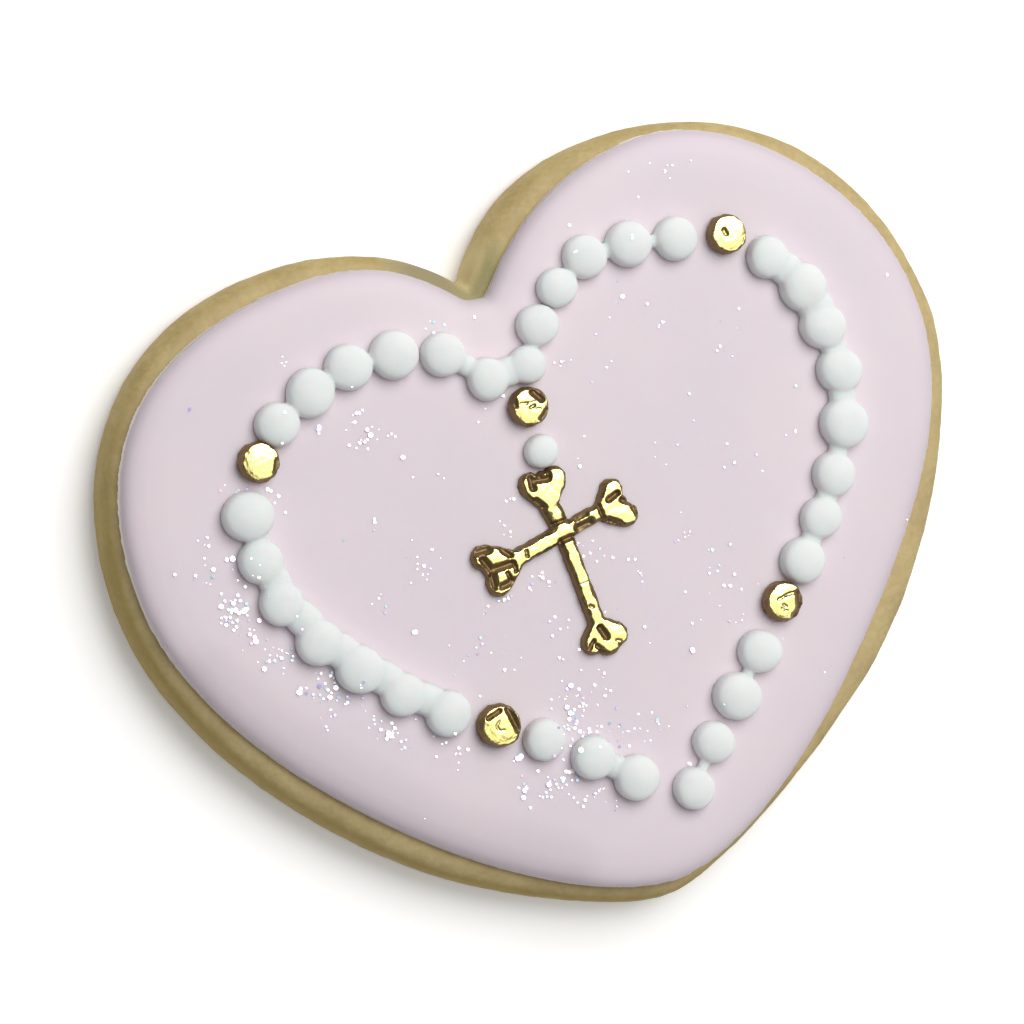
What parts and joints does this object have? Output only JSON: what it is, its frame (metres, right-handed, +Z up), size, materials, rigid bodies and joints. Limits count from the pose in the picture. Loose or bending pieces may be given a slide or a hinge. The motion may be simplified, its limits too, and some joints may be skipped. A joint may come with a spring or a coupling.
{
  "type": "iced sugar cookie",
  "caption": "Heart-shaped sugar cookie with smooth pale pink icing, a piped rosary of white dots with gold beads, and a small gold piped cross; lies flat.",
  "frame": {"origin": "centre of the bounding box's bottom face, on the underside of the biscuit", "axes": "+X across the heart's width, +Y along the heart's axis from its point to its notch, +Z up through the icing"},
  "size_m": [0.0905, 0.0745, 0.0117],
  "materials": {
    "biscuit": "matte baked biscuit, pale tan with a fine crumb",
    "icing": "smooth dried icing, pale pink, soft satin sheen",
    "pearls": "dried white piping icing, satin",
    "gold": "edible gold lustre paint, metallic and slightly crinkled",
    "glitter": "fine iridescent edible glitter"
  },
  "bodies": {
    "root": {"biscuit": "biscuit", "icing": "icing", "pearl_join": "pearls", "pearl_left_01": "pearls", "pearl_left_02": "pearls", "pearl_left_03": "pearls", "pearl_left_04": "pearls", "pearl_left_05": "pearls", "pearl_left_06": "pearls", "pearl_left_07": "pearls", "pearl_left_08": "pearls", "pearl_left_09": "pearls", "pearl_left_10": "pearls", "pearl_left_11": "pearls", "pearl_left_12": "pearls", "pearl_left_13": "pearls", "pearl_left_14": "pearls", "pearl_left_15": "pearls", "pearl_left_16": "pearls", "pearl_right_01": "pearls", "pearl_right_02": "pearls", "pearl_right_03": "pearls", "pearl_right_04": "pearls", "pearl_right_05": "pearls", "pearl_right_06": "pearls", "pearl_right_07": "pearls", "pearl_right_08": "pearls", "pearl_right_09": "pearls", "pearl_right_10": "pearls", "pearl_right_11": "pearls", "pearl_right_12": "pearls", "pearl_right_13": "pearls", "pearl_right_14": "pearls", "pearl_right_15": "pearls", "pearl_right_16": "pearls", "pearl_right_17": "pearls", "pearl_pendant_01": "pearls", "gold_bead_1": "gold", "gold_bead_2": "gold", "gold_bead_3": "gold", "gold_bead_4": "gold", "gold_bead_5": "gold", "cross": "gold"}
  },
  "joints": []
}
